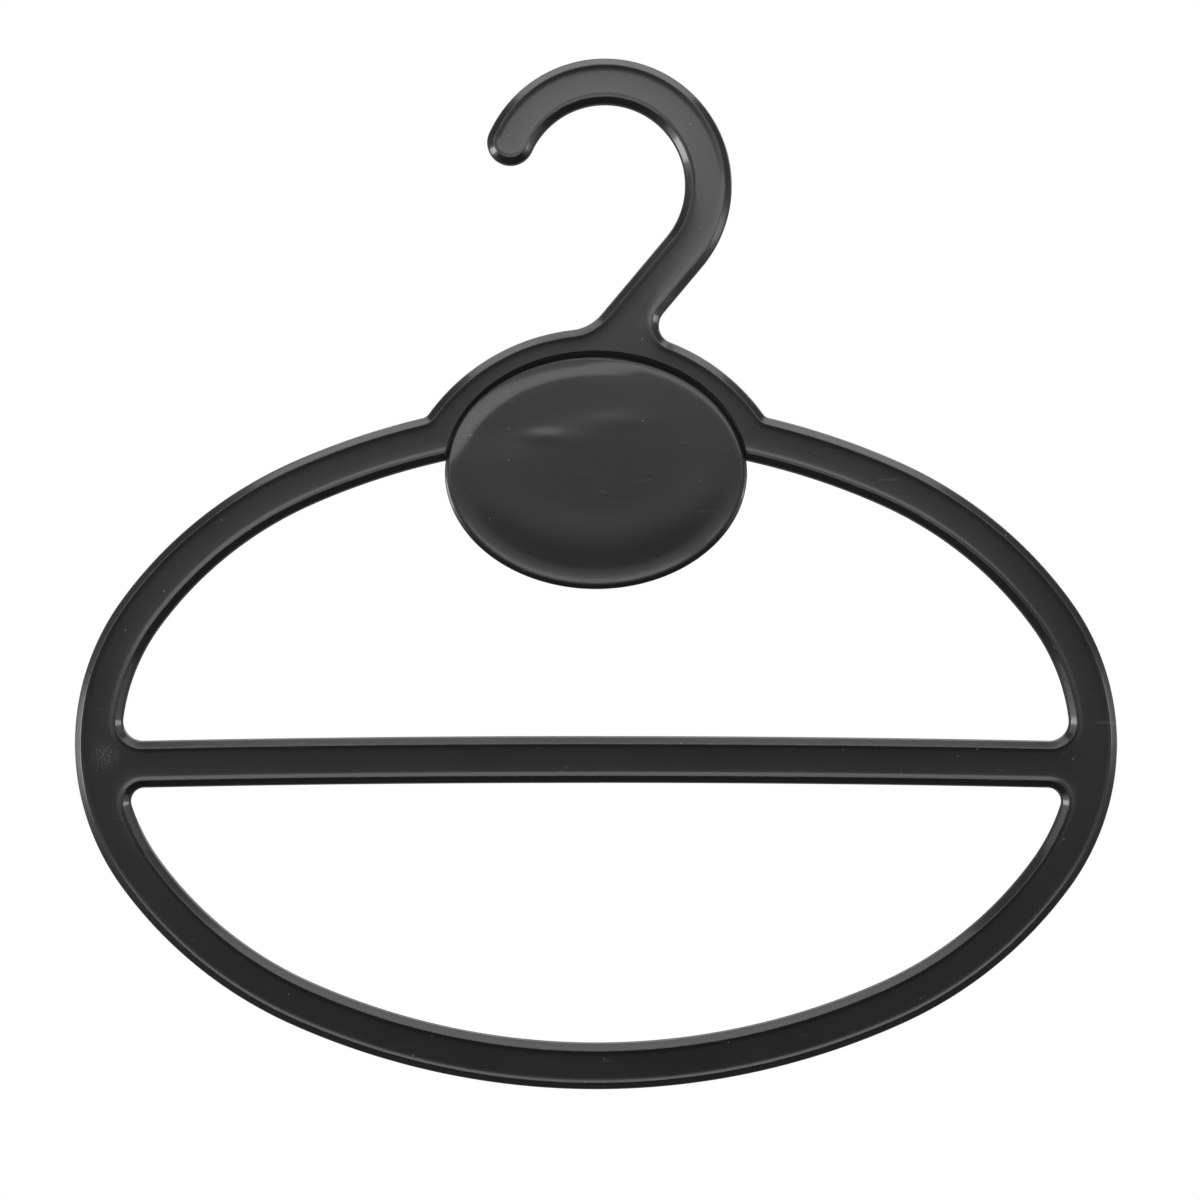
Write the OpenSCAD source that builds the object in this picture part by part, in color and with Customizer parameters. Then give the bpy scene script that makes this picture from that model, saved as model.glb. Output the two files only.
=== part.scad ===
// Scarf hanger: a flat black moulding with an open hook, a big oval for scarves, a cross bar and an oval plate.
// Upright, +Z up, front towards -Y, origin at the centre of the hook where the rail passes, at mid thickness.
// The plan is drawn from the centre of the big oval: x to the right, y up, z out of the front face.

/* [Member section] */

// Width of every member across its two edges
band_w = 11.7; // [10.5:0.1:13]
// Thickness from front face to back face
band_t = 6; // [5:0.1:7.5]
// Width and depth of the bevel on each edge
bevel = 1.75; // [1:0.05:2]
// Depth of the shallow dish along each face
dish_depth = 0.45; // [0.2:0.05:0.7]
// Flat rim between the bevel and the dish
dish_rim = 0.3; // [0.2:0.05:0.6]

/* [Hook and neck] */

// Inside diameter of the hook, over the rail
hook_d = 40; // [36:0.5:46]
// Height of the hook centre over the centre of the big oval
hook_height = 139.2; // [136:0.2:146]
// Distance of the hook centre to the right of the middle of the oval
hook_offset = 2.2; // [0:0.1:4]
// Slope of the neck, in degrees from level
neck_slope = 50; // [46:1:56]
// Direction of the hook nose as seen from the hook centre, in degrees
nose_angle = 155.5; // [130:0.5:170]
// Fillet between neck and brow, on the open side of the hook
neck_fillet_left = 11; // [8:0.5:13]
// Fillet between neck and brow, on the closed side of the hook
neck_fillet_right = 4.6; // [3:0.2:7]

/* [Big oval] */

// Width of the big oval, which is the width of the hanger
oval_w = 260; // [246:1:276]
// Height of the big oval
oval_h = 172.6; // [166:0.2:178]
// Radius of the rounded ends of the big oval
oval_end_r = 60.7; // [58:0.2:63]

/* [Cross bar] */

// Height of the middle of the bar, from the centre of the big oval
bar_height = -4; // [-10:0.5:0]
// Rise of the middle of the bar over its ends
bar_camber = 1.3; // [0.8:0.1:3]
// Length of the root at each end of the bar, where its edges flare out in fillets
root_l = 5.5; // [4:0.1:7]

/* [Brow and plate] */

// Outside radius of the brow
brow_r = 51.5; // [50:0.5:54]
// Height of the centre of the brow over the centre of the big oval
brow_height = 52; // [50:0.5:54]
// Fillet between brow and arm
notch_fillet = 2.5; // [1.5:0.1:4]
// Width of the oval plate
plate_w = 75.4; // [72:0.2:77]
// Height of the oval plate
plate_h = 58; // [56:0.2:59]
// Height of the plate centre over the centre of the big oval
plate_height = 67.5; // [67:0.1:68.5]
// Thickness of the plate over the raised lip
plate_t = 4.4; // [3.6:0.1:5]
// Width of the raised lip around the plate
lip_w = 2.6; // [2:0.1:3]
// Width of the valley behind the lip
valley_w = 4.5; // [3.5:0.1:5.5]
// Depth of the valley below the lip
valley_depth = 0.6; // [0.4:0.05:0.8]
// Width of the low crest between the valley and the sunken middle
crest_w = 6; // [4:0.5:8]
// Depth of the sunken middle below the lip
centre_depth = 0.5; // [0.4:0.05:0.7]

/* [Hidden] */

$fn = 96;
band_half = band_w / 2;
face_z = band_t / 2;
land_z = face_z - bevel;
face_half = band_half - bevel;
hook_r = hook_d / 2 + band_half;
hook_at = [hook_offset, hook_height];
brow_at = [0, brow_height];
plate_at = [0, plate_height];
over = 1;

// A fillet stands this much proud of the members that it joins.
blend = 0.02;

// How far the brow reaches into each arm, in degrees of the long arc past the notch.
arm_root = 5;

// How far the dishes of an end run on, in degrees: past the end itself, along the root and out of the root.
end_run = 1;
root_run = 0.1;
root_over = 0.01;

// A three-centre oval is drawn from arcs about the middle of its ends, shoulders and long sides.
end_reach = 36;
shoulder_reach = 66;

function dir(a) = [cos(a), sin(a)];
function angle_of(v) = atan2(v[1], v[0]);

// The two steps in radius that make the end arc, the shoulder arc and the long arc run into each other.
function oval_fit(w, h, r) =
    let (
        c1 = cos(end_reach),
        s1 = sin(end_reach),
        c2 = cos(shoulder_reach),
        s2 = sin(shoulder_reach),
        reach_x = w / 2 - r,
        reach_y = h / 2 - r,
        det = c1 * (1 - s2) - c2 * (1 - s1)
    )
    [
        (reach_x * (1 - s2) - c2 * reach_y) / det,
        (c1 * reach_y - reach_x * (1 - s1)) / det
    ];

// The eight arcs of an oval, each with its first and last direction, its centre and its radius.
function oval_arcs(w, h, r) =
    let (
        fit = oval_fit(w, h, r),
        shoulder_r = r + fit[0],
        long_r = shoulder_r + fit[1],
        end_at = [w / 2 - r, 0],
        shoulder_at = end_at - fit[0] * dir(end_reach),
        long_at = [0, h / 2 - long_r]
    )
    [
        [-end_reach, end_reach, end_at, r],
        [end_reach, shoulder_reach, shoulder_at, shoulder_r],
        [shoulder_reach, 180 - shoulder_reach, long_at, long_r],
        [180 - shoulder_reach, 180 - end_reach, [-shoulder_at[0], shoulder_at[1]], shoulder_r],
        [180 - end_reach, 180 + end_reach, -end_at, r],
        [180 + end_reach, 180 + shoulder_reach, -shoulder_at, shoulder_r],
        [180 + shoulder_reach, 360 - shoulder_reach, -long_at, long_r],
        [360 - shoulder_reach, 360 - end_reach, [shoulder_at[0], -shoulder_at[1]], shoulder_r],
        [360 - end_reach, 360 + end_reach, end_at, r]
    ];

big_oval = oval_arcs(oval_w, oval_h, oval_end_r);
end_arc = big_oval[0];
upper_shoulder_arc = big_oval[1];
top_arc = big_oval[2];
bottom_arc = big_oval[6];
lower_shoulder_arc = big_oval[7];
end_at = end_arc[2];
top_at = top_arc[2];
top_r = top_arc[3];

// The bar is a very flat arc through its middle and its two lower ends.
bar_reach = oval_w / 2 - band_w;
bar_r = (bar_reach * bar_reach + bar_camber * bar_camber) / (2 * bar_camber);
bar_at = [0, bar_height - bar_r];

// The point at distance ra from a and rb from b, to the right of the way from a to b.
function meet(a, ra, b, rb) =
    let (
        gap = norm(b - a),
        along = (gap * gap + ra * ra - rb * rb) / (2 * gap),
        aside = sqrt(ra * ra - along * along),
        way = (b - a) / gap
    )
    a + along * way + aside * [way[1], -way[0]];

// Radius that touches the inside of the oval and the bar edge, where the root of the bar begins.
function corner_fillet(side) =
    let (
        back = bar_at + (bar_r + side * band_half) * dir(bar_end) - end_at,
        reach = oval_end_r - band_w
    )
    (reach * reach - back * back) / (2 * (side * back * dir(bar_end) + reach));

// Fillet centres in the right half of the plan.
bar_end = acos((bar_reach - root_l) / bar_r);
above_bar_r = corner_fillet(1);
below_bar_r = corner_fillet(-1);
above_bar_at = bar_at + (bar_r + band_half + above_bar_r) * dir(bar_end);
below_bar_at = bar_at + (bar_r - band_half - below_bar_r) * dir(bar_end);
notch_at = meet(top_at, top_r + notch_fillet, brow_at, brow_r + notch_fillet);

// Directions in which these fillets touch the oval and the brow.
end_above = angle_of(above_bar_at - end_at);
end_below = angle_of(below_bar_at - end_at);
arm_top = angle_of(notch_at - top_at);
brow_side = angle_of(notch_at - brow_at);

// The neck runs from the end of the hook arc towards the brow.
neck_normal = neck_slope - 90;
neck_way = -dir(neck_slope);
neck_top = hook_at + hook_r * dir(neck_normal);

// Fillet centre beside the neck, at a distance from the middle line of the neck.
function neck_fillet_at(aside, r) =
    let (
        start = neck_top + aside * dir(neck_normal),
        back = start - brow_at,
        half = back * neck_way,
        reach = brow_r + r
    )
    start + (-half - sqrt(half * half - back * back + reach * reach)) * neck_way;

neck_left_at = neck_fillet_at(-band_half - neck_fillet_left, neck_fillet_left);
neck_right_at = neck_fillet_at(band_half + neck_fillet_right, neck_fillet_right);
neck_left_l = (neck_left_at - neck_top) * neck_way;
neck_right_l = (neck_right_at - neck_top) * neck_way;
brow_left = angle_of(neck_left_at - brow_at);
brow_right = angle_of(neck_right_at - brow_at);
brow_line = brow_r - band_half;
neck_foot_l = neck_left_l + neck_fillet_left;

/* Sections, drawn across a member: x from its middle line, y through its thickness. */

module half_section(proud = 0) {
    polygon([
        [0, -face_z],
        [face_half + proud, -face_z],
        [band_half + proud, -land_z],
        [band_half + proud, land_z],
        [face_half + proud, face_z],
        [0, face_z]
    ]);
}

module full_section() {
    polygon([
        [-face_half, -face_z],
        [face_half, -face_z],
        [band_half, -land_z],
        [band_half, land_z],
        [face_half, face_z],
        [-face_half, face_z],
        [-band_half, land_z],
        [-band_half, -land_z]
    ]);
}

// The brow keeps a plain inner side, which the seat of the plate cuts to shape.
module brow_section() {
    polygon([
        [-band_half, -face_z],
        [face_half, -face_z],
        [band_half, -land_z],
        [band_half, land_z],
        [face_half, face_z],
        [-band_half, face_z]
    ]);
}

// The shallow round dish of one face, with its open side past the face.
module dish_section() {
    dish_half = face_half - dish_rim;
    dish_r = (dish_half * dish_half + dish_depth * dish_depth) / (2 * dish_depth);
    intersection() {
        translate([0, face_z - dish_depth + dish_r]) circle(r = dish_r, $fn = 180);
        translate([-dish_half, face_z - 2 * dish_depth]) square([2 * dish_half, 2 * dish_depth + over]);
    }
}

module dish_sections() {
    dish_section();
    mirror([0, 1]) dish_section();
}

// The whole section of a member that meets no other in its length.
module member_section() {
    difference() {
        full_section();
        dish_sections();
    }
}

/* Ways to run a section along the plan. */

// Along an arc about a centre, from one direction to another.
module along_arc(at, r, from, to) {
    translate([at[0], at[1], 0])
        rotate([0, 0, from])
            rotate_extrude(angle = to - from)
                translate([r, 0])
                    children();
}

// Along a piece of one arc of the big oval.
module along_oval(arc, from, to) {
    along_arc(arc[2], arc[3] - band_half, from, to) children();
}

// Along the flat arc of the bar, between two directions.
module along_bar(from, to) {
    along_arc(bar_at, bar_r, from, to, $fn = 2880) children();
}

// Along the neck, between two distances from the hook.
module along_neck(from, to) {
    start = neck_top + from * neck_way;
    translate([start[0], start[1], 0])
        rotate([0, 0, neck_normal])
            rotate([90, 0, 0])
                linear_extrude(height = to - from)
                    children();
}

/* Shared shapes. */

// A round cutter that flares into the bevels of both faces.
module bevelled_bore(at, r) {
    flare = bevel + over;
    translate([at[0], at[1], 0]) {
        cylinder(h = band_t, r = r, center = true, $fn = 48);
        translate([0, 0, land_z]) cylinder(h = flare, r1 = r, r2 = r + flare, $fn = 48);
        translate([0, 0, -land_z - flare]) cylinder(h = flare, r1 = r + flare, r2 = r, $fn = 48);
    }
}

// A web in the corner between two members: it ends where its fillet touches each of them.
module web(corner, first, at, r, last) {
    difference() {
        translate([0, 0, -face_z])
            linear_extrude(height = band_t)
                polygon([corner, first, at, last]);
        bevelled_bore(at, r - blend);
    }
}

module mirrored() {
    mirror([1, 0, 0]) children();
}

// From the plan to the upright hanger.
module upright() {
    rotate([90, 0, 0])
        translate([-hook_at[0], -hook_at[1], 0])
            children();
}

/* Members in plan. */

module hook_plan() {
    along_arc(hook_at, hook_r, neck_normal, nose_angle) member_section();
    nose_at = hook_at + hook_r * dir(nose_angle);
    translate([nose_at[0], nose_at[1], 0]) rotate_extrude() half_section(blend);
}

module neck_plan() {
    along_neck(0, neck_right_l) member_section();
}

// The corner where an arm of the oval runs into the brow.
module brow_corner() {
    arm_line = top_r - band_half;
    inside = top_at + arm_line * dir(arm_top + arm_root);
    on_arm = top_at + arm_line * dir(arm_top);
    on_brow = brow_at + brow_line * dir(brow_side);
    web(inside, on_arm, notch_at, notch_fillet, on_brow);
    along_oval(top_arc, shoulder_reach, arm_top + arm_root) full_section();
}

// The foot of the neck, with a large fillet on the open side and a small one on the closed side.
module neck_foot() {
    foot = neck_top + neck_foot_l * neck_way;
    web(foot, neck_top + neck_left_l * neck_way, neck_left_at, neck_fillet_left,
        brow_at + brow_line * dir(brow_left));
    web(foot, neck_top + neck_right_l * neck_way, neck_right_at, neck_fillet_right,
        brow_at + brow_line * dir(brow_right));
    along_neck(neck_right_l, neck_foot_l) full_section();
}

// Places a round shape, drawn for the height of the plate, and widens it to the plate oval.
module plate_oval() {
    translate([plate_at[0], plate_at[1], 0])
        scale([plate_w / plate_h, 1, 1])
            children();
}

// The oval seat of the plate, flared into the bevel of the brow.
module plate_seat() {
    flare = bevel + over;
    seat_r = plate_h / 2;
    plate_oval()
        rotate_extrude()
            polygon([
                [0, -land_z - flare],
                [seat_r + flare, -land_z - flare],
                [seat_r, -land_z],
                [seat_r, land_z],
                [seat_r + flare, land_z + flare],
                [0, land_z + flare]
            ]);
}

module brow_plan() {
    difference() {
        union() {
            along_arc(brow_at, brow_line, brow_side, 180 - brow_side) brow_section();
            neck_foot();
            brow_corner();
            mirrored() brow_corner();
        }
        plate_seat();
    }
}

// A flat oval with the shape of the plate, smaller all round by an inset.
module plate_slab(inset, t) {
    translate([plate_at[0], plate_at[1], 0])
        linear_extrude(height = t, center = true)
            scale([plate_w / 2 - inset, plate_h / 2 - inset]) circle(r = 1);
}

// The plate with a raised lip, a valley behind it, a low crest and a sunken middle, the same on both faces.
module plate_plan() {
    difference() {
        plate_slab(0, plate_t);
        difference() {
            plate_slab(lip_w, plate_t + over);
            plate_slab(lip_w - over, plate_t - 2 * valley_depth);
        }
    }
    difference() {
        plate_slab(lip_w + valley_w, plate_t - valley_depth);
        difference() {
            plate_slab(lip_w + valley_w + crest_w, plate_t);
            plate_slab(lip_w, plate_t - 2 * centre_depth);
        }
    }
}

// An upper arm, next to the brow.
module upper_arm_plan() {
    along_oval(upper_shoulder_arc, end_reach, shoulder_reach) member_section();
}

// The tightest part of the oval, above the root of the bar.
module upper_corner_plan() {
    along_oval(end_arc, end_above, end_reach) member_section();
}

// The root of the bar between its two fillets, let into the oval.
module bar_root() {
    // The root is let in to halfway between the middle line and the outer bevel.
    depth = oval_end_r - band_half + face_half / 2;
    difference() {
        translate([0, 0, -face_z])
            linear_extrude(height = band_t)
                polygon([
                    end_at + depth * dir(end_above),
                    above_bar_at,
                    below_bar_at,
                    end_at + depth * dir(end_below),
                    end_at + depth * dir((end_above + end_below) / 2)
                ]);
        bevelled_bore(above_bar_at, above_bar_r);
        bevelled_bore(below_bar_at, below_bar_r);
    }
}

// The end of the oval where the bar runs in.
module end_plan() {
    difference() {
        union() {
            along_oval(end_arc, end_below, end_above) half_section();
            bar_root();
        }
        along_oval(end_arc, end_below - end_run, end_above + end_run) dish_sections();
        along_bar(bar_end - root_run, bar_end + root_over) dish_sections();
    }
}

// The tightest part of the oval, below the root of the bar.
module lower_corner_plan() {
    along_oval(end_arc, -end_reach, end_below) member_section();
}

module cross_bar_plan() {
    along_bar(bar_end, 180 - bar_end) member_section();
}

// A lower arm, next to the lower bow.
module lower_arm_plan() {
    along_oval(lower_shoulder_arc, 360 - shoulder_reach, 360 - end_reach) member_section();
}

module lower_bow_plan() {
    along_oval(bottom_arc, 180 + shoulder_reach, 360 - shoulder_reach) member_section();
}

/* One module for each named member. */

module hook() {
    color("#242426") upright() hook_plan();
}

module neck() {
    color("#2c2c2f") upright() neck_plan();
}

module brow() {
    color("#28282b") upright() brow_plan();
}

module plate() {
    color("#323236") upright() plate_plan();
}

module upper_left_arm() {
    color("#2d2d30") upright() mirrored() upper_arm_plan();
}

module upper_right_arm() {
    color("#2b2b2e") upright() upper_arm_plan();
}

module upper_left_corner() {
    color("#272729") upright() mirrored() upper_corner_plan();
}

module upper_right_corner() {
    color("#29292b") upright() upper_corner_plan();
}

module left_end() {
    color("#303034") upright() mirrored() end_plan();
}

module right_end() {
    color("#313135") upright() end_plan();
}

module cross_bar() {
    color("#262629") upright() cross_bar_plan();
}

module lower_left_corner() {
    color("#2a2a2c") upright() mirrored() lower_corner_plan();
}

module lower_right_corner() {
    color("#282829") upright() lower_corner_plan();
}

module lower_left_arm() {
    color("#2f2f31") upright() mirrored() lower_arm_plan();
}

module lower_right_arm() {
    color("#2e2e30") upright() lower_arm_plan();
}

module lower_bow() {
    color("#2c2c2e") upright() lower_bow_plan();
}

// Member to build, or all

hook();
neck();
brow();
plate();
upper_left_arm();
upper_right_arm();
upper_left_corner();
upper_right_corner();
left_end();
right_end();
cross_bar();
lower_left_corner();
lower_right_corner();
lower_left_arm();
lower_right_arm();
lower_bow();
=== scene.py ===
# %% [markdown]
# # Scarf hanger
# The object is one black injection moulding: an open hook on a slanted neck, a brow over an oval plate, a
# big oval and a cross bar. It is built here as the toolmaker would cut it. An outline is drawn with arcs
# that run into each other, the flat shape between the outlines is filled, and inset after inset raises
# the section: parting line, land, bevel and dish. The plate is a second surface, set in a seat cut
# through the brow.

# %% Start
import math

import bmesh
import bpy
from mathutils import Matrix, Vector


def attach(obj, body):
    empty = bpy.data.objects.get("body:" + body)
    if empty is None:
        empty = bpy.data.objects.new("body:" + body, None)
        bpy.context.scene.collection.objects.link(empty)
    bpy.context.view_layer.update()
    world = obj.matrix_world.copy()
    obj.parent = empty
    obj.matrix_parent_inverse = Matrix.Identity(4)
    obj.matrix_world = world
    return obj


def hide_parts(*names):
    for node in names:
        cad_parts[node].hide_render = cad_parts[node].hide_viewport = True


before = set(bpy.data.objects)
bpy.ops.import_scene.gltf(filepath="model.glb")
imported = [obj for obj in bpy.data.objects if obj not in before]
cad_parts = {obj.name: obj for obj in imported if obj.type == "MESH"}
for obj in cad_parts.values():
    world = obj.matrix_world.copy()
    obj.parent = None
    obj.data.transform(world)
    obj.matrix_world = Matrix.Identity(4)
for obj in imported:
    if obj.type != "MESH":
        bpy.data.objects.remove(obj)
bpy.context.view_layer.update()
print("nodes:", len(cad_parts))

# %% [markdown]
# ## Sizes
# The plan is drawn in millimetres from the centre of the big oval, x to the right and y up, as in the
# solids. The hook centre is the origin of the frame, so the finished surfaces are turned upright and
# moved there at the end. The driving sizes follow those of the solids, so the two models fit each other.

# %% Sizes in millimetres
MM = 0.001
BAND, HALF_T, BEVEL = 11.7, 3.0, 1.75
HALF, LAND = BAND / 2, HALF_T - BEVEL
HOOK_AT, HOOK_R, NOSE = Vector((2.2, 139.2)), 20 + HALF, 155.5
NECK_SLOPE, NECK_LEFT, NECK_RIGHT = 50, 11.0, 4.6
OVAL_A, OVAL_B, END_R, END_REACH, SHOULDER = 130.0, 86.27, 60.7, 36, 66
BAR_Y, BAR_CAMBER, ROOT = -4.0, 1.3, 5.5
BROW_AT, BROW_R, NOTCH = Vector((0, 52.0)), 51.5, 2.5
PLATE_AT, PLATE_A, PLATE_B = Vector((0, 67.5)), 37.7, 29.0
print("oval:", 2 * OVAL_A, "by", round(2 * OVAL_B, 1), "mm, member:", BAND, "by", 2 * HALF_T, "mm")

# %% [markdown]
# ## The oval
# The big oval isn't an ellipse. Three arcs with different radii run into each other on each quarter: a
# tight end, a shoulder and a long flat top. Their inner edge is then a true offset with the same centres,
# which is how such a moulded member keeps its width. The two longer radii follow from the height and the
# width of the oval.


# %% Arcs of the oval and the bar
def toward(degrees):
    """The unit vector in a direction."""
    return Vector((math.cos(math.radians(degrees)), math.sin(math.radians(degrees))))


def heading(v):
    """The direction of a vector, in degrees."""
    return math.degrees(math.atan2(v.y, v.x))


def mirrored(v):
    """The same point on the left."""
    return Vector((-v.x, v.y))


c1, s1 = toward(END_REACH)
c2, s2 = toward(SHOULDER)
reach_x, reach_y = OVAL_A - END_R, OVAL_B - END_R
det = c1 * (1 - s2) - c2 * (1 - s1)
step_1 = (reach_x * (1 - s2) - c2 * reach_y) / det
step_2 = (c1 * reach_y - reach_x * (1 - s1)) / det
SHOULDER_R, TOP_R = END_R + step_1, END_R + step_1 + step_2
END_AT = Vector((reach_x, 0))
SHOULDER_AT = END_AT - step_1 * toward(END_REACH)
LOW_SHOULDER_AT = Vector((SHOULDER_AT.x, -SHOULDER_AT.y))
TOP_AT = Vector((0, OVAL_B - TOP_R))

bar_reach = OVAL_A - BAND
BAR_R = (bar_reach**2 + BAR_CAMBER**2) / (2 * BAR_CAMBER)
BAR_AT = Vector((0, BAR_Y - BAR_R))
BAR_END = math.degrees(math.acos((bar_reach - ROOT) / BAR_R))
print("oval radii:", round(END_R, 1), round(SHOULDER_R, 1), round(TOP_R, 1), "bar radius:", round(BAR_R))

# %% [markdown]
# ## The fillets
# Every fillet is the circle that touches the two members it joins, so its centre and radius are worked
# out and not drawn by eye. Four of them run the bar into the ends of the oval, two fill the notches
# beside the brow, and a large and a small one carry the neck. Plastic flows more easily round such
# corners, and they don't crack.


# %% Fillets
def meet(a, ra, b, rb):
    """The point at distance ra from a and rb from b, to the right of the way from a to b."""
    gap = (b - a).length
    along_way = (gap * gap + ra * ra - rb * rb) / (2 * gap)
    aside = math.sqrt(ra * ra - along_way * along_way)
    way = (b - a) / gap
    return a + along_way * way + aside * Vector((way.y, -way.x))


def root_fillet(side):
    """Centre and radius of the arc that runs a bar edge into the inside of the oval."""
    back = BAR_AT + (BAR_R + side * HALF) * toward(BAR_END) - END_AT
    reach = END_R - BAND
    r = (reach**2 - back.length_squared) / (2 * (side * back.dot(toward(BAR_END)) + reach))
    return BAR_AT + (BAR_R + side * (HALF + r)) * toward(BAR_END), r


def neck_fillet(aside, r):
    """Centre of the arc that runs a side of the neck into the brow."""
    start = NECK_TOP + aside * neck_normal
    back = start - BROW_AT
    half = back.dot(neck_way)
    return start + (-half - math.sqrt(half**2 - back.length_squared + (BROW_R + r) ** 2)) * neck_way


neck_normal = toward(NECK_SLOPE - 90)
neck_way = -toward(NECK_SLOPE)
NECK_TOP = HOOK_AT + HOOK_R * neck_normal
LEFT_AT = neck_fillet(-HALF - NECK_LEFT, NECK_LEFT)
RIGHT_AT = neck_fillet(HALF + NECK_RIGHT, NECK_RIGHT)
NOTCH_AT = meet(TOP_AT, TOP_R + NOTCH, BROW_AT, BROW_R + NOTCH)
ABOVE_AT, ABOVE_R = root_fillet(1)
BELOW_AT, BELOW_R = root_fillet(-1)
print("bar root radii:", round(ABOVE_R, 2), round(BELOW_R, 2))

# %% [markdown]
# ## The outline pen
# Every outline is a chain of arcs and straights, each tangent to the next. A pen holds the last point: an
# arc is a spin of that point about the centre of the arc, and a straight is an extrusion. The step
# follows the radius, so small fillets stay round and long sides don't take more points than they need.


# %% The pen
class Pen:
    """Draws an outline in the plane from arcs that are given by their centre and their last direction."""

    SHARE_OF_RADIUS, LONGEST, SHORTEST = 0.09, 1.0, 0.3

    def __init__(self, bm, start):
        self.bm = bm
        self.first = self.last = bm.verts.new((start.x, start.y, 0))

    def at(self):
        """Where the pen stands."""
        return Vector((self.last.co.x, self.last.co.y))

    def arc(self, centre, to, turn):
        """Turns the pen about a centre to a direction: turn 1 is anticlockwise, -1 is clockwise."""
        out = self.at() - centre
        angle = math.radians((to - heading(out)) % 360 if turn > 0 else -((heading(out) - to) % 360))
        pace = max(min(self.LONGEST, out.length * self.SHARE_OF_RADIUS), self.SHORTEST)
        made = bmesh.ops.spin(
            self.bm, geom=[self.last], cent=(centre.x, centre.y, 0), axis=(0, 0, 1), angle=angle,
            steps=max(2, round(abs(angle) * out.length / pace)),
        )
        self.last = next(v for v in made["geom_last"] if isinstance(v, bmesh.types.BMVert))

    def line(self, end):
        """A straight to a point."""
        way = end - self.at()
        steps = max(1, round(way.length / self.LONGEST))
        for _ in range(steps):
            self.last = bmesh.ops.extrude_vert_indiv(self.bm, verts=[self.last])["verts"][0]
            self.last.co += Vector((way.x, way.y, 0)) / steps

    def close(self):
        """Joins the end of the outline to its beginning."""
        print("  outline closes within", round((self.last.co - self.first.co).length, 4), "mm")
        bmesh.ops.pointmerge(self.bm, verts=[self.first, self.last], merge_co=self.first.co)


print("pen steps:", Pen.SHORTEST, "to", Pen.LONGEST, "mm")

# %% [markdown]
# ## The outer outline
# It starts at the bottom of the oval and runs anticlockwise: up the right end, through the notch on to
# the brow, up the neck, round the hook and its nose, down again and back over the left end. Inner corners
# turn clockwise.


# %% Outer outline
def draw_outer(bm):
    """The outline of the whole moulding."""
    left_notch = mirrored(NOTCH_AT)
    pen = Pen(bm, Vector((0, -OVAL_B)))
    pen.arc(-TOP_AT, -SHOULDER, 1)
    pen.arc(LOW_SHOULDER_AT, -END_REACH, 1)
    pen.arc(END_AT, END_REACH, 1)
    pen.arc(SHOULDER_AT, SHOULDER, 1)
    pen.arc(TOP_AT, heading(NOTCH_AT - TOP_AT), 1)
    pen.arc(NOTCH_AT, heading(BROW_AT - NOTCH_AT), -1)
    pen.arc(BROW_AT, heading(RIGHT_AT - BROW_AT), 1)
    pen.arc(RIGHT_AT, heading(-neck_normal), -1)
    pen.line(NECK_TOP + HALF * neck_normal)
    pen.arc(HOOK_AT, NOSE, 1)
    pen.arc(HOOK_AT + HOOK_R * toward(NOSE), NOSE + 180, 1)
    pen.arc(HOOK_AT, NECK_SLOPE - 90, -1)
    pen.line(LEFT_AT + NECK_LEFT * neck_normal)
    pen.arc(LEFT_AT, heading(BROW_AT - LEFT_AT), -1)
    pen.arc(BROW_AT, heading(left_notch - BROW_AT), 1)
    pen.arc(left_notch, heading(TOP_AT - left_notch), -1)
    pen.arc(TOP_AT, 180 - SHOULDER, 1)
    pen.arc(mirrored(SHOULDER_AT), 180 - END_REACH, 1)
    pen.arc(-END_AT, 180 + END_REACH, 1)
    pen.arc(-SHOULDER_AT, 180 + SHOULDER, 1)
    pen.arc(-TOP_AT, 270, 1)
    pen.close()


plan = bmesh.new()
draw_outer(plan)
print("outer outline:", len(plan.verts), "points")

# %% [markdown]
# ## The two openings
# The upper opening is drawn on to a circle inside the brow, because the seat of the plate is cut through
# there later. A pointed corner of material would throw the insets out as spikes, so the corners between
# arm and brow are rounded a little more than the deepest inset reaches. The seat cuts them away. The
# lower opening lies between the bar and the oval.

# %% Openings
CORNER_R = HALF - 0.15


def draw_upper_opening(bm):
    """The opening between the bar, the arms and the inside of the brow."""
    corner = meet(TOP_AT, TOP_R - BAND + CORNER_R, BROW_AT, BROW_R - BAND + CORNER_R)
    left_corner, left_above = mirrored(corner), mirrored(ABOVE_AT)
    pen = Pen(bm, BAR_AT + (BAR_R + HALF) * toward(90))
    pen.arc(BAR_AT, BAR_END, -1)
    pen.arc(ABOVE_AT, heading(ABOVE_AT - END_AT), 1)
    pen.arc(END_AT, END_REACH, 1)
    pen.arc(SHOULDER_AT, SHOULDER, 1)
    pen.arc(TOP_AT, heading(corner - TOP_AT), 1)
    pen.arc(corner, heading(BROW_AT - corner), -1)
    pen.arc(BROW_AT, heading(left_corner - BROW_AT), 1)
    pen.arc(left_corner, heading(TOP_AT - left_corner), -1)
    pen.arc(TOP_AT, 180 - SHOULDER, 1)
    pen.arc(mirrored(SHOULDER_AT), 180 - END_REACH, 1)
    pen.arc(-END_AT, heading(left_above + END_AT), 1)
    pen.arc(left_above, heading(BAR_AT - left_above), 1)
    pen.arc(BAR_AT, 90, -1)
    pen.close()


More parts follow.
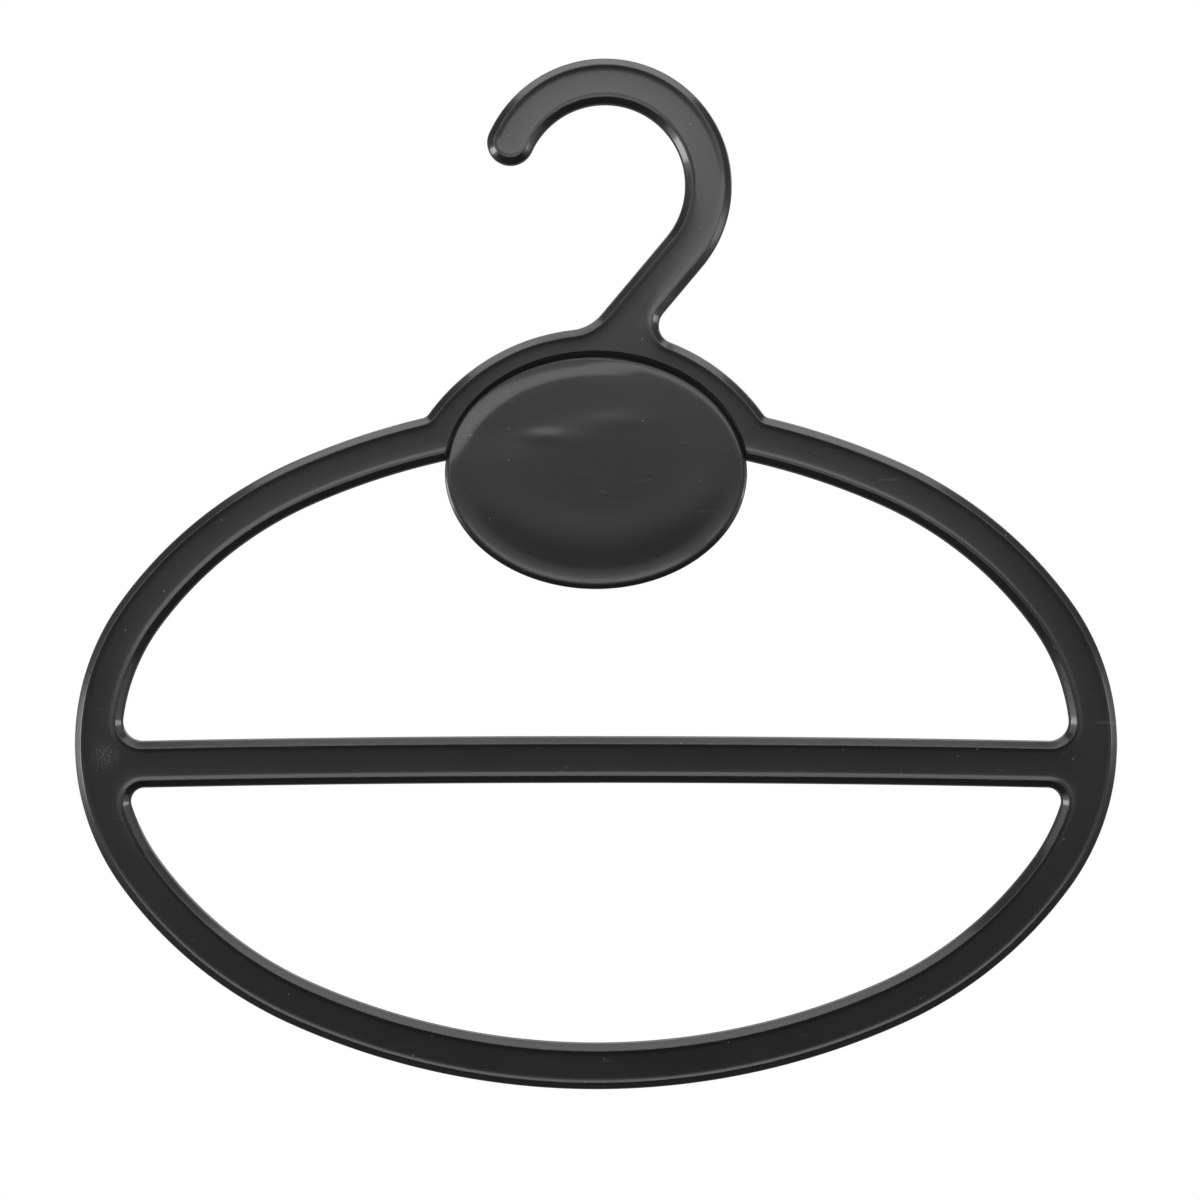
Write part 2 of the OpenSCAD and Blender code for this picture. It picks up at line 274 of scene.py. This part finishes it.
def draw_lower_opening(bm):
    """The opening between the bar and the lower arcs of the oval."""
    left_below = mirrored(BELOW_AT)
    pen = Pen(bm, BAR_AT + (BAR_R - HALF) * toward(90))
    pen.arc(BAR_AT, 180 - BAR_END, 1)
    pen.arc(left_below, heading(left_below + END_AT), 1)
    pen.arc(-END_AT, 180 + END_REACH, 1)
    pen.arc(-SHOULDER_AT, 180 + SHOULDER, 1)
    pen.arc(-TOP_AT, -SHOULDER, 1)
    pen.arc(LOW_SHOULDER_AT, -END_REACH, 1)
    pen.arc(END_AT, heading(BELOW_AT - END_AT), 1)
    pen.arc(BELOW_AT, heading(BELOW_AT - BAR_AT), 1)
    pen.arc(BAR_AT, 90, 1)
    pen.close()


draw_upper_opening(plan)
draw_lower_opening(plan)
print("three outlines:", len(plan.verts), "points")

# %% [markdown]
# ## Filling the plan
# The area between the three outlines is filled and the triangles are joined to large flat faces. Only the
# outlines matter from here on, because the insets make all the faces of the section.

# %% Plan of the moulding
bmesh.ops.triangle_fill(plan, edges=plan.edges[:], use_beauty=True, normal=(0, 0, 1))
bmesh.ops.recalc_face_normals(plan, faces=plan.faces[:])
if sum(f.normal.z for f in plan.faces) < 0:
    bmesh.ops.reverse_faces(plan, faces=plan.faces[:])
bmesh.ops.dissolve_limit(
    plan, angle_limit=math.radians(5), verts=[], edges=[e for e in plan.edges if not e.is_boundary],
    use_dissolve_boundaries=False,
)
print("plan:", len(plan.faces), "faces, area", round(sum(f.calc_area() for f in plan.faces)), "mm2")

# %% [markdown]
# ## The section
# The member has a fine parting ridge at half thickness, a low upright land, a 45 degree bevel and a
# dished face that starts at a fine rim. Each station is a distance from the outline and a height. The
# dish has a short wall, which catches the light as a thin line, and a nearly flat floor, whose last
# station lies just short of the middle of the member.

# %% Stations of the section
SECTION = [
    (0.05, 0.05), (0.08, 0.16), (0.25, LAND - 0.05), (0.29, LAND + 0.12), (0.42, LAND + 0.27),
    (BEVEL - 0.10, HALF_T - 0.16), (BEVEL + 0.02, HALF_T - 0.055), (BEVEL + 0.13, HALF_T - 0.012),
    (BEVEL + 0.24, HALF_T - 0.02),
]
DISH, WALL, WALL_SHARE, FLOOR = 0.27, 0.34, 0.6, 5.55
RIM, RIM_HEIGHT = SECTION[-1]


def dish(part):
    """Share of the dish depth reached at a part of the way from the rim to the middle of the member."""
    wall = 1 - (1 - min(part / WALL, 1)) ** 2
    bottom = 1 - (1 - part) ** 2
    return WALL_SHARE * wall + (1 - WALL_SHARE) * bottom


for part in (0.05, 0.11, 0.18, 0.26, 0.34, 0.46, 0.62, 0.80, 1.0):
    SECTION.append((RIM + part * (FLOOR - RIM), RIM_HEIGHT - DISH * dish(part)))
print("stations:", len(SECTION), "dish:", DISH, "mm deep")

# %% [markdown]
# ## Raising the section
# Each row is an inset of the row before, so every fillet carries the whole section round without a seam.
# All insets are made flat first and lifted afterwards, because an inset follows the slope of a lifted
# face. The rows that stand proud get a mark, which the material uses for wear. Three soft sinks show
# where the section is thickest.


# %% Rows of the moulding
def inset_rows(bm, distances):
    """Insets all faces again and again; returns the rows of points and the faces left inside."""
    inside, strips, last_distance = bm.faces[:], [], 0.0
    for distance in distances:
        made = bmesh.ops.inset_region(
            bm, faces=inside, thickness=distance - last_distance, depth=0,
            use_even_offset=True, use_boundary=True,
        )
        strips.append(made["faces"])
        last_distance = distance
    placed, found = {v for v in bm.verts if v.is_boundary}, []
    for strip in strips:
        found.append(list({v for f in strip for v in f.verts} - placed))
        placed.update(found[-1])
    return found, inside


rim_mark = plan.verts.layers.float.new("rim")
rows, _ = inset_rows(plan, [distance for distance, _ in SECTION])
for row, (distance, height) in zip(rows, SECTION):
    bmesh.ops.translate(plan, verts=row, vec=(0, 0, height))
    if distance < 0.2 or BEVEL - 0.05 < distance < BEVEL + 0.2:
        for v in row:
            v[rim_mark] = 1.0

# Sinks: place, half width and depth. Only points above FACE_FROM lie on the face.
SINKS = [(-118.0, BAR_Y - 4.6, 3.2, 0.10), (118.0, BAR_Y - 4.6, 3.2, 0.10), (11.5, 106.5, 4.5, 0.06)]
FACE_FROM = HALF_T - 0.6
for v in plan.verts:
    if v.co.z > FACE_FROM:
        for x, y, wide, deep in SINKS:
            v.co.z -= deep * math.exp(-((v.co.x - x) ** 2 + (v.co.y - y) ** 2) / wide**2)
print("section rows:", len(rows), "faces:", len(plan.faces))

# %% [markdown]
# ## Two alike halves
# The back can't be seen. Such hangers are mostly alike on both faces, so the half is mirrored at the
# parting plane and welded there. The ridge that the two halves of the mould leave is the outline itself.
# The surface is then turned upright and brought to the hook centre, in metres.


# %% Mirror, weld, turn upright
def close_halves(bm):
    """Mirrors the front half at the parting plane and welds the two along the outline."""
    bmesh.ops.mirror(bm, geom=bm.verts[:] + bm.edges[:] + bm.faces[:], merge_dist=1e-4, axis="Z")
    bmesh.ops.recalc_face_normals(bm, faces=bm.faces[:])


def stand(bm, name):
    """Turns a plan that lies on z = 0 upright, front towards -Y, and makes an object of it."""
    upright = Matrix.Rotation(math.radians(90), 4, "X") @ Matrix.Translation((-HOOK_AT.x, -HOOK_AT.y, 0))
    bmesh.ops.transform(bm, matrix=Matrix.Scale(MM, 4) @ upright, verts=bm.verts[:])
    mesh = bpy.data.meshes.new(name)
    bm.to_mesh(mesh)
    bm.free()
    piece = bpy.data.objects.new(name, mesh)
    bpy.context.collection.objects.link(piece)
    print(name, "faces:", len(mesh.polygons))
    return piece


close_halves(plan)
moulding = stand(plan, "hanger_moulding")

# %% [markdown]
# ## The seat of the plate
# The oval plate sits in the brow. Its seat is cut right through: straight in the middle, flaring by the
# bevel on both faces. That flare is the dark groove over the plate. To the sides it is narrower, so that
# the arms still reach the plate. The tool is a stack of ovals, from the front face to the back face.


# %% The tool for the seat
def oval(bm, half_w, half_h, z, steps=288):
    """An oval outline round the plate centre."""
    made = bmesh.ops.create_circle(bm, cap_ends=False, segments=steps, radius=1)["verts"]
    bmesh.ops.scale(bm, vec=(half_w, half_h, 1), verts=made)
    bmesh.ops.translate(bm, vec=(PLATE_AT.x, PLATE_AT.y, z), verts=made)
    return list({e for v in made for e in v.link_edges})


def row_out(bm, edges, old, new, z):
    """Pulls the next row out of an oval outline, from old to new half widths and up by z."""
    made = bmesh.ops.extrude_edge_only(bm, edges=edges)["geom"]
    verts = [v for v in made if isinstance(v, bmesh.types.BMVert)]
    bmesh.ops.scale(
        bm, vec=(new[0] / old[0], new[1] / old[1], 1), verts=verts,
        space=Matrix.Translation((-PLATE_AT.x, -PLATE_AT.y, 0)),
    )
    bmesh.ops.translate(bm, vec=(0, 0, z), verts=verts)
    return [e for e in made if isinstance(e, bmesh.types.BMEdge)]


SEAT_GAP, SIDE_FLARE = 0.1, 0.3
# The front half of the stack: how much wider than the seat, and at what height.
flare = [(BEVEL * 1.3 + 0.3, HALF_T + 0.5), (BEVEL, HALF_T - 0.04), (0.12, LAND + 0.08), (0.0, LAND - 0.1)]
flare += [(wider, -height) for wider, height in reversed(flare)]
ovals = [
    (PLATE_A - SEAT_GAP + SIDE_FLARE * wider, PLATE_B - SEAT_GAP + wider, height)
    for wider, height in flare
]

cutter = bmesh.new()
edges = oval(cutter, *ovals[0])
bmesh.ops.edgeloop_fill(cutter, edges=edges)
for before, after in zip(ovals, ovals[1:]):
    edges = row_out(cutter, edges, before, after, after[2] - before[2])
bmesh.ops.edgeloop_fill(cutter, edges=edges)
print("seat tool:", len(ovals), "ovals")

# %% [markdown]
# ## The ejector pins
# Pins push the moulding out of the mould and leave round shallow marks on its back. They can't be seen in
# the photograph. They are put where a toolmaker would need them: on the hook and the neck, on the long
# arcs, on the bar and on both ends. They are cut together with the seat in one exact boolean.


# %% Pin marks, and the cut
def settle(piece):
    """Applies the modifiers of a piece to its mesh."""
    shape = bpy.data.meshes.new_from_object(piece.evaluated_get(bpy.context.evaluated_depsgraph_get()))
    piece.modifiers.clear()
    piece.data = shape


PIN_R, PIN_DEPTH, NECK_PIN = 2.1, 0.13, 13
PIN_FLOOR = HALF_T - DISH - PIN_DEPTH
mid_top, mid_end = TOP_R - HALF, END_R - HALF
# Places of the pins on the arcs, as directions in degrees.
ON_HOOK, ON_TOP, ON_BOTTOM, ON_BAR = (118, 22), (-21, 21), (-19, 0, 19), (-0.62, 0.62)
ON_ENDS = ((1, 24), (1, -24), (-1, 156), (-1, 204))
pins = [HOOK_AT + HOOK_R * toward(a) for a in ON_HOOK] + [NECK_TOP + NECK_PIN * neck_way]
pins += [TOP_AT + mid_top * toward(90 + a) for a in ON_TOP]
pins += [-TOP_AT + mid_top * toward(270 + a) for a in ON_BOTTOM]
pins += [BAR_AT + BAR_R * toward(90 + a) for a in ON_BAR]
pins += [side * END_AT + mid_end * toward(a) for side, a in ON_ENDS]
for pin in pins:
    bmesh.ops.create_cone(
        cutter, cap_ends=True, segments=40, radius1=PIN_R, radius2=PIN_R, depth=2,
        matrix=Matrix.Translation((pin.x, pin.y, -PIN_FLOOR - 1)),
    )
bmesh.ops.recalc_face_normals(cutter, faces=cutter.faces[:])
seat_tool = stand(cutter, "seat_tool")

seat = moulding.modifiers.new("seat", "BOOLEAN")
seat.operation, seat.solver, seat.object = "DIFFERENCE", "EXACT", seat_tool
settle(moulding)
bpy.data.objects.remove(seat_tool)
print("moulding after the cut:", len(moulding.data.polygons), "faces; pin marks:", len(pins))

# %% [markdown]
# ## Profiles of the plate
# The plate is an oval disc with a stepped rim. Under the brow a shoulder falls outwards into the groove.
# Along the free lower edge a lip stands up, with a valley and a low crest behind it. At the sides the
# edge is only rolled, and to the right the shoulder fades out. Each profile is a list of distances from
# the rim and heights, read from the bands of light in the photograph, and a smooth curve runs through it.

# %% Profiles
UNDER_BROW = [
    (0, 0.0), (0.04, 0.8), (0.3, 1.0), (1.0, 1.2), (2.5, 1.52), (3.8, 1.71), (5.0, 1.78), (10, 1.80),
    (14, 1.83), (17, 1.90), (20, 1.97), (24, 1.98), (29, 1.96),
]
SIDE_EDGE = [
    (0, 0.0), (0.04, 1.0), (0.3, 1.35), (0.8, 1.70), (1.3, 1.82), (2.2, 1.86), (4.5, 1.86), (8.5, 1.90),
    (14, 1.95), (20, 1.97), (29, 1.96),
]
FREE_EDGE = [
    (0, 0.0), (0.04, 1.1), (0.25, 1.42), (0.80, 1.99), (1.1, 2.09), (1.45, 2.09), (2.2, 2.01), (3.2, 1.935),
    (4.2, 1.88), (5.3, 1.86), (7.2, 1.94), (9.8, 2.07), (12.2, 2.11), (15.0, 2.08), (20, 1.97), (29, 1.93),
]
# Soft swells, as the flow of the plastic leaves them: place, half length, half height and rise.
SWELLS = [(-13.0, 76.6, 5.5, 1.7, 0.085), (5.5, 80.2, 7.5, 2.2, 0.06), (24.0, 58.0, 3.5, 10.0, 0.05)]
# Where one profile fades into the next, in shares of the half height or half length: start and width.
TOP_FADE, LOW_FADE, RIGHT_FADE, RIGHT_LOSS = (0.05, 0.35), (0.12, 0.62), (-0.15, 0.5), 0.9


def ease(t):
    """Runs smoothly from 0 to 1."""
    t = min(1.0, max(0.0, t))
    return t * t * (3 - 2 * t)


def along(profile, d):
    """The height of a profile at distance d from the rim, on a smooth curve through its stations."""
    last = len(profile) - 1
    i = max(1, next((k for k, (x, _) in enumerate(profile) if x >= d), last))
    before, start, end, after = (profile[min(max(k, 0), last)] for k in (i - 2, i - 1, i, i + 1))
    span = end[0] - start[0]
    rise_0 = (end[1] - before[1]) / (end[0] - before[0]) * span
    rise_1 = (after[1] - start[1]) / (after[0] - start[0]) * span
    t = min(1.0, max(0.0, (d - start[0]) / span))
    return (
        (2 * t**3 - 3 * t**2 + 1) * start[1] + (t**3 - 2 * t**2 + t) * rise_0
        + (3 * t**2 - 2 * t**3) * end[1] + (t**3 - t**2) * rise_1
    )


def plate_height(co, d):
    """Height of the plate face: a shoulder at the top, rolled sides and a lip at the bottom."""
    up, right = (co.y - PLATE_AT.y) / PLATE_B, co.x / PLATE_A
    top, low = ease((up - TOP_FADE[0]) / TOP_FADE[1]), ease((LOW_FADE[0] - up) / LOW_FADE[1])
    top *= 1 - RIGHT_LOSS * ease((right - RIGHT_FADE[0]) / RIGHT_FADE[1])
    z = top * along(UNDER_BROW, d) + low * along(FREE_EDGE, d) + (1 - top - low) * along(SIDE_EDGE, d)
    if d > 2:
        for x, y, long, high, rise in SWELLS:
            z += rise * math.exp(-(((co.x - x) / long) ** 2) - ((co.y - y) / high) ** 2)
    return z


print("crest", max(height for _, height in FREE_EDGE), "mm over the parting plane")

# %% [markdown]
# ## The plate
# The first rows are insets of the oval, dense where the edge turns. The rest shrink towards the centre,
# so the middle keeps even faces and closes in a point. Each point is lifted by the blend of the three
# profiles. Then the plate is mirrored like the moulding.

# %% Build the plate
INNER_ROWS = 22
stations = [0.04, 0.10, 0.3, 0.5, 0.75, 1.0, 1.15, 1.4, 1.75, 2.1, 2.5, 2.9, 3.3, 3.7]
stations += [4.1, 4.4, 4.7, 5.0, 5.4] + [6.0 + 0.6 * i for i in range(8)]

disc = bmesh.new()
oval(disc, PLATE_A, PLATE_B, 0, 360)
bmesh.ops.edgeloop_fill(disc, edges=disc.edges[:])
disc.faces.ensure_lookup_table()
if disc.faces[0].normal.z < 0:
    bmesh.ops.reverse_faces(disc, faces=disc.faces[:])
rows, middle = inset_rows(disc, stations)
for row, distance in zip(rows, stations):
    for v in row:
        v.co.z = plate_height(v.co, distance)

edges = list(middle[0].edges)
bmesh.ops.delete(disc, geom=middle, context="FACES_ONLY")
for k in range(1, INNER_ROWS):
    shrink = (1 - k / INNER_ROWS) / (1 - (k - 1) / INNER_ROWS)
    edges = row_out(disc, edges, (1, 1), (shrink, shrink), 0)
    for v in {v for e in edges for v in e.verts}:
        v.co.z = plate_height(v.co, stations[-1] + (PLATE_B - stations[-1]) * k / INNER_ROWS)
bmesh.ops.poke(disc, faces=bmesh.ops.edgeloop_fill(disc, edges=edges)["faces"])
close_halves(disc)
plate = stand(disc, "oval_plate")

# %% [markdown]
# ## Edges and shading
# A moulded edge is never quite sharp, and the rows of the section already carry its rounding. Normals are
# weighted by face area, so the flat bevel stays flat and the whole turn of the light falls in the narrow
# rounding rows.

# %% Shade the surfaces
for piece in (moulding, plate):
    piece.data.shade_smooth()
    piece.data.set_sharp_from_angle(angle=math.radians(38))
    normals = piece.modifiers.new("weighted normals", "WEIGHTED_NORMAL")
    normals.keep_sharp = True
    normals.weight = 80
print("shaded:", moulding.name, plate.name)

# %% [markdown]
# ## Helpers for materials
# A material is a small net of nodes. These helpers add a node with its inputs in one call: a value goes
# straight on the socket, and a socket is linked. Patterns use Object coordinates, so they keep their size
# in metres.


# %% Node helpers
def add_node(tree, kind, inputs=None, **settings):
    """Adds a shader node to a tree, with its settings and its inputs."""
    made = tree.nodes.new("ShaderNode" + kind)
    for key, value in settings.items():
        setattr(made, key, value)
    for key, value in (inputs or {}).items():
        if isinstance(value, bpy.types.NodeSocket):
            tree.links.new(value, made.inputs[key])
        else:
            made.inputs[key].default_value = value
    return made


black = bpy.data.materials.new("satin black plastic")
black.use_nodes = True
skin = black.node_tree
where = add_node(skin, "TexCoord").outputs["Object"]


def noise(scale, detail=2.0, vector=where):
    """A cloudy pattern between 0 and 1."""
    return add_node(skin, "TexNoise", {"Vector": vector, "Scale": scale, "Detail": detail}).outputs["Fac"]


def band(value, low, high, to_low=0.0, to_high=1.0):
    """Spreads the part of a value between low and high over the part between to_low and to_high."""
    spread = {"Value": value, "From Min": low, "From Max": high, "To Min": to_low, "To Max": to_high}
    return add_node(skin, "MapRange", spread, clamp=True).outputs["Result"]


def times(a, b):
    """The product of two values."""
    return add_node(skin, "Math", {0: a, 1: b}, operation="MULTIPLY").outputs[0]


def plus(a, b):
    """The sum of two values, kept between 0 and 1."""
    return add_node(skin, "Math", {0: a, 1: b}, operation="ADD", use_clamp=True).outputs[0]


print("material:", black.name)

# %% [markdown]
# ## Traces of use
# The hanger in the photograph is used. Specks of dust are dots round scattered points, and only some of
# them are kept. Hair scratches run in three directions: each is a thin contour line of a noise that is
# drawn out, broken up by a second noise. A rubbed spot lies on the left end beside the root of the bar,
# and the rims are worn in places. Each mark is a mask between 0 and 1, so that they can be added up.

# %% Marks
# Each pair of values holds the two ends of a fade, from a mark to the clean skin or back.
DUST_SCALE, DUST_DOT, DUST_KEPT = 420.0, (0.05, 0.11), (0.90, 0.92)
cells = add_node(skin, "TexVoronoi", {"Vector": where, "Scale": DUST_SCALE})
dot = band(cells.outputs["Distance"], *DUST_DOT, 1.0, 0.0)
kept = band(add_node(skin, "SeparateColor", {0: cells.outputs["Color"]}).outputs[0], *DUST_KEPT)
specks = times(dot, kept)

# Turn in radians and stretch of each set of hairs.
HAIR_WAYS = ((0.12, (14, 14, 420)), (1.35, (16, 16, 380)), (-0.75, (10, 10, 520)))
HAIR_LINE, HAIR_LEFT = (0.0015, 0.005), (0.66, 0.70)
hair = None
for turn, stretch in HAIR_WAYS:
    drawn = add_node(skin, "Mapping", {"Vector": where, "Rotation": (0, turn, 0), "Scale": stretch})
    wave = noise(1.0, 1.0, drawn.outputs["Vector"])
    off = add_node(skin, "Math", {0: wave, 1: 0.5}, operation="SUBTRACT").outputs[0]
    near = add_node(skin, "Math", {0: off}, operation="ABSOLUTE").outputs[0]
    broken = band(noise(60 + 40 * abs(turn), 1.0), *HAIR_LEFT)
    line = times(band(near, *HAIR_LINE, 1.0, 0.0), broken)
    hair = line if hair is None else plus(hair, line)

SPOT_AT, SPOT_SCALE = (-0.1242, -0.003, -0.1420), 2600
SPOT_EDGE, SPOT_GRAIN = (0.0012, 0.0042), (0.50, 0.62)
spot = add_node(skin, "Mapping", {"Vector": where, "Location": [-x for x in SPOT_AT]}).outputs["Vector"]
away = add_node(skin, "VectorMath", {0: spot}, operation="LENGTH").outputs["Value"]
rubbed = times(band(away, *SPOT_EDGE, 1.0, 0.0), band(noise(SPOT_SCALE, 1.0), *SPOT_GRAIN))

WEAR_SCALE, WEAR_PLACES = 420, (0.50, 0.72)
HAIR_SHOWS, SPOT_SHOWS, WEAR_SHOWS = 0.16, 0.55, 0.30
rim = add_node(skin, "Attribute", attribute_name="rim").outputs["Fac"]
worn = times(rim, band(noise(WEAR_SCALE, 3.0), *WEAR_PLACES))
marks = plus(specks, plus(times(hair, HAIR_SHOWS), plus(times(rubbed, SPOT_SHOWS), times(worn, WEAR_SHOWS))))
print("nodes of the marks:", len(skin.nodes))

# %% [markdown]
# ## Satin black plastic
# The plastic is black all through. The polish of the mould gives it a satin gloss, and a weak coat puts a
# sharper one over it. Broad patches are a little duller, where hands and cloth rub. The roughness never
# goes under 0.28, because a gloss that crosses about 0.27 comes out of the denoiser in patches. A soft
# orange peel bends the reflections, and the marks are greyer, duller and a trace raised. Both pieces
# share the material, because they are one moulding.

# %% Colour, gloss and relief
BLACK, GREY = (0.014, 0.014, 0.0145, 1), (0.16, 0.16, 0.165, 1)
GLOSSIEST, DULLEST, DULLER_MARKS = 0.28, 0.35, 0.30
SMEAR_SCALE, PEEL_SCALE = 38, 450
colour = add_node(skin, "Mix", data_type="RGBA")
share, first, second = (socket for socket in colour.inputs if socket.enabled)
skin.links.new(marks, share)
first.default_value, second.default_value = BLACK, GREY
mixed = next(socket for socket in colour.outputs if socket.enabled)
smears = band(noise(SMEAR_SCALE, 2.0), 0.2, 0.8, GLOSSIEST, DULLEST)
peel = add_node(skin, "Bump", {"Height": noise(PEEL_SCALE, 1.0), "Strength": 0.10, "Distance": 0.00003})
raised = {"Height": marks, "Strength": 0.35, "Distance": 0.00002, "Normal": peel.outputs["Normal"]}
relief = add_node(skin, "Bump", raised)

surface = skin.nodes["Principled BSDF"].inputs
skin.links.new(mixed, surface["Base Color"])
skin.links.new(plus(smears, times(marks, DULLER_MARKS)), surface["Roughness"])
skin.links.new(relief.outputs["Normal"], surface["Normal"])
surface["IOR"].default_value = 1.5
surface["Coat Weight"].default_value = 0.35
surface["Coat Roughness"].default_value = 0.10
print("nodes of the material:", len(skin.nodes))

# %% [markdown]
# ## The pieces and the solids
# Each piece is parented to a body of the frame and gets the material in its slot, and the solids it stands
# for are hidden. The moulding stands for all members except the plate. Nothing moves, so all ride on the
# root.

# %% Tie the pieces to the frame
members = [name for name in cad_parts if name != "plate"]
for piece, nodes in ((moulding, members), (plate, ["plate"])):
    piece.data.materials.clear()
    piece.data.materials.append(black)
    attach(piece, "root")
    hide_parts(*nodes)
    print(piece.name, "stands for", len(nodes), "solids")

# %% [markdown]
# ## Surroundings
# The hanger is seen against plain white in the photograph, but its reflections are dark. So the camera
# sees white all round, while every other ray sees a dark room that is a little lighter below and behind.
# Most of the light comes from the soft boxes.

# %% World
BELOW, AT_LEVEL, ABOVE, BEHIND, COOLER = 0.06, 0.05, 0.03, 0.15, 1.01
world = bpy.data.worlds.new("studio")
bpy.context.scene.world = world
world.use_nodes = True
sky = world.node_tree
sky.nodes.clear()
way_out = add_node(sky, "TexCoord").outputs["Generated"]
split = add_node(sky, "SeparateXYZ", {0: way_out})
height = add_node(sky, "MapRange", {"Value": split.outputs["Z"], "From Min": -1.0, "From Max": 1.0})
ramp = add_node(sky, "ValToRGB", {"Fac": height.outputs["Result"]})
stops = [(0.0, BELOW), (0.45, AT_LEVEL), (0.55, ABOVE), (1.0, ABOVE)]
while len(ramp.color_ramp.elements) < len(stops):
    ramp.color_ramp.elements.new(0.5)
for element, (at, value) in zip(ramp.color_ramp.elements, stops):
    element.position = at
    element.color = (value, value, value * COOLER, 1)
behind = add_node(
    sky, "MapRange", {"Value": split.outputs["Y"], "From Min": 0.0, "From Max": 0.4, "To Max": BEHIND},
)
both = add_node(sky, "VectorMath", {0: ramp.outputs["Color"], 1: behind.outputs["Result"]})
dim = add_node(sky, "Background", {"Color": both.outputs["Vector"], "Strength": 1.0})
white = add_node(sky, "Background", {"Color": (1, 1, 1, 1), "Strength": 1.0})
seen = add_node(sky, "LightPath").outputs["Is Camera Ray"]
mix = add_node(sky, "MixShader", {0: seen, 1: dim.outputs[0], 2: white.outputs[0]})
add_node(sky, "OutputWorld", {"Surface": mix.outputs[0]})
print("nodes of the world:", len(sky.nodes))

# %% [markdown]
# ## Floor
# The floor is a pale disc far under the hanger, which hangs free. It is staged, so it isn't part of the
# object. It gives no reflection and no bounced light, because neither shows on the plastic in the
# photograph.

# %% Floor
GROUND_R, GROUND_Z = 1.1, -0.62
ground = bmesh.new()
bmesh.ops.create_circle(
    ground, cap_ends=True, segments=96, radius=GROUND_R, matrix=Matrix.Translation((0, 0, GROUND_Z)),
)
floor_mesh = bpy.data.meshes.new("floor")
ground.to_mesh(floor_mesh)
ground.free()
floor = bpy.data.objects.new("floor", floor_mesh)
bpy.context.collection.objects.link(floor)
pale = bpy.data.materials.new("pale floor")
pale.use_nodes = True
pale.node_tree.nodes["Principled BSDF"].inputs["Base Color"].default_value = (0.8, 0.8, 0.8, 1)
floor_mesh.materials.append(pale)
floor.visible_glossy = False
floor.visible_diffuse = False
print("floor at", GROUND_Z, "m")

# %% [markdown]
# ## Lights
# The bands of light on the plastic suggest where the lights stood, and the boxes were moved until the
# bands fell much as in the photograph. A wide box over the camera is the strongest, so the hanger gets
# darker downwards. The box overhead lights the upper bevels, the walls light the side bevels, and a small
# strip on each side puts a streak on the bevel of that end. A box behind shows the back to whoever looks
# from there.


# %% Soft boxes
def soft_box(name, at, size, power, aim=(0, 0, -0.1)):
    """A rectangular soft light at a place, aimed at a point; it isn't seen itself."""
    lamp = bpy.data.lights.new(name, "AREA")
    lamp.shape, (lamp.size, lamp.size_y), lamp.energy = "RECTANGLE", size, power
    box = bpy.data.objects.new(name, lamp)
    way = Vector(aim) - Vector(at)
    box.matrix_world = Matrix.Translation(at) @ way.to_track_quat("-Z", "Y").to_matrix().to_4x4()
    box.visible_camera = False
    bpy.context.collection.objects.link(box)


# Name, place and size in metres, power in watts, and where it isn't the middle of the hanger, the aim.
BOXES = [
    ("overhead", (0, 0, 0.55), (1.0, 0.5), 3.2),
    ("upper front", (0, -0.35, 0.35), (0.8, 0.25), 1.2),
    ("over the camera", (-0.15, -1.2, 0.295), (1.4, 0.41), 5.0),
    ("under the camera", (0, -1.2, -0.45), (1.2, 0.25), 0.08),
    ("front left", (-0.6, -1.1, -0.1), (0.5, 0.5), 0.8),
    ("front right", (0.6, -1.1, -0.1), (0.5, 0.5), 0.6),
    ("left wall", (-0.6, -0.15, -0.1), (0.3, 0.8), 1.2),
    ("right wall", (0.6, -0.15, -0.1), (0.3, 0.8), 0.8),
    ("left strip", (-0.42, -0.02, -0.150), (0.10, 0.15), 0.50, (0, 0, -0.150)),
    ("right strip", (0.40, -0.02, -0.115), (0.06, 0.11), 0.20, (0, 0, -0.115)),
    ("behind", (0.25, 1.2, 0.30), (1.1, 0.4), 1.2),
    ("upper right", (0.5, -0.3, 0.4), (0.4, 0.4), 0.7),
]
for box in BOXES:
    soft_box(*box)
print("soft boxes:", len(BOXES))

# %% [markdown]
# ## Camera
# The photograph is taken straight on, nearly level with the middle of the hanger, with a long lens. So
# the camera looks along +Y from about a metre in front, without any tilt, and the hanger fills the frame
# as in the photograph.

# %% Camera
lens = bpy.data.cameras.new("camera")
lens.lens, lens.sensor_width = 120, 36
camera = bpy.data.objects.new("camera", lens)
camera.location = (-0.0012, -0.998, -0.1034)
camera.rotation_euler = (math.radians(90), 0, 0)
bpy.context.collection.objects.link(camera)
bpy.context.scene.camera = camera
bpy.context.scene.view_settings.view_transform = "Standard"
print("camera:", lens.lens, "mm lens, at", [round(x, 4) for x in camera.location])
